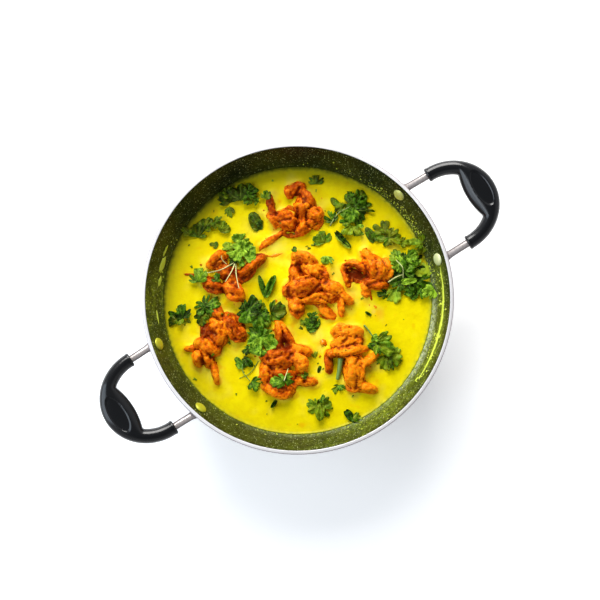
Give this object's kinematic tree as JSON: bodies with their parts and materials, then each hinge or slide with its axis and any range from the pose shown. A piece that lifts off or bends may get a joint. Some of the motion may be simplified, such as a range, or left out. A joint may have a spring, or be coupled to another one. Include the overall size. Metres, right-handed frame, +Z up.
{
  "type": "pot of kadhi pakora",
  "caption": "Two-handled non-stick pan of yellow yoghurt curry with fried onion fritters and coriander leaves, ready to serve.",
  "frame": {"origin": "centre of the pan's flat base, on the surface it stands on", "axes": "+Z up along the pan's axis; seen from above one handle points 30.2 degrees from +X towards +Y and the other 213.8 degrees from +X"},
  "size_m": [0.3279, 0.26, 0.095],
  "materials": {
    "coating": "satin",
    "aluminium": "satin",
    "steel": "gloss",
    "plastic": "gloss",
    "kadhi": "satin",
    "crust": "satin",
    "leaf": "satin",
    "oil": "gloss"
  },
  "bodies": {
    "root": {"pan": "coating", "curry": "kadhi", "pakora_top": "crust", "pakora_left": "crust", "pakora_centre": "crust", "pakora_right": "crust", "pakora_lower_left": "crust", "pakora_lower_middle": "crust", "pakora_lower_right": "crust", "grip_1": "plastic", "grip_2": "plastic", "rod_1": "steel", "rod_2": "steel", "rod_3": "steel", "rod_4": "steel", "rivet_1": "aluminium", "rivet_2": "aluminium", "rivet_3": "aluminium", "rivet_4": "aluminium"}
  },
  "joints": []
}
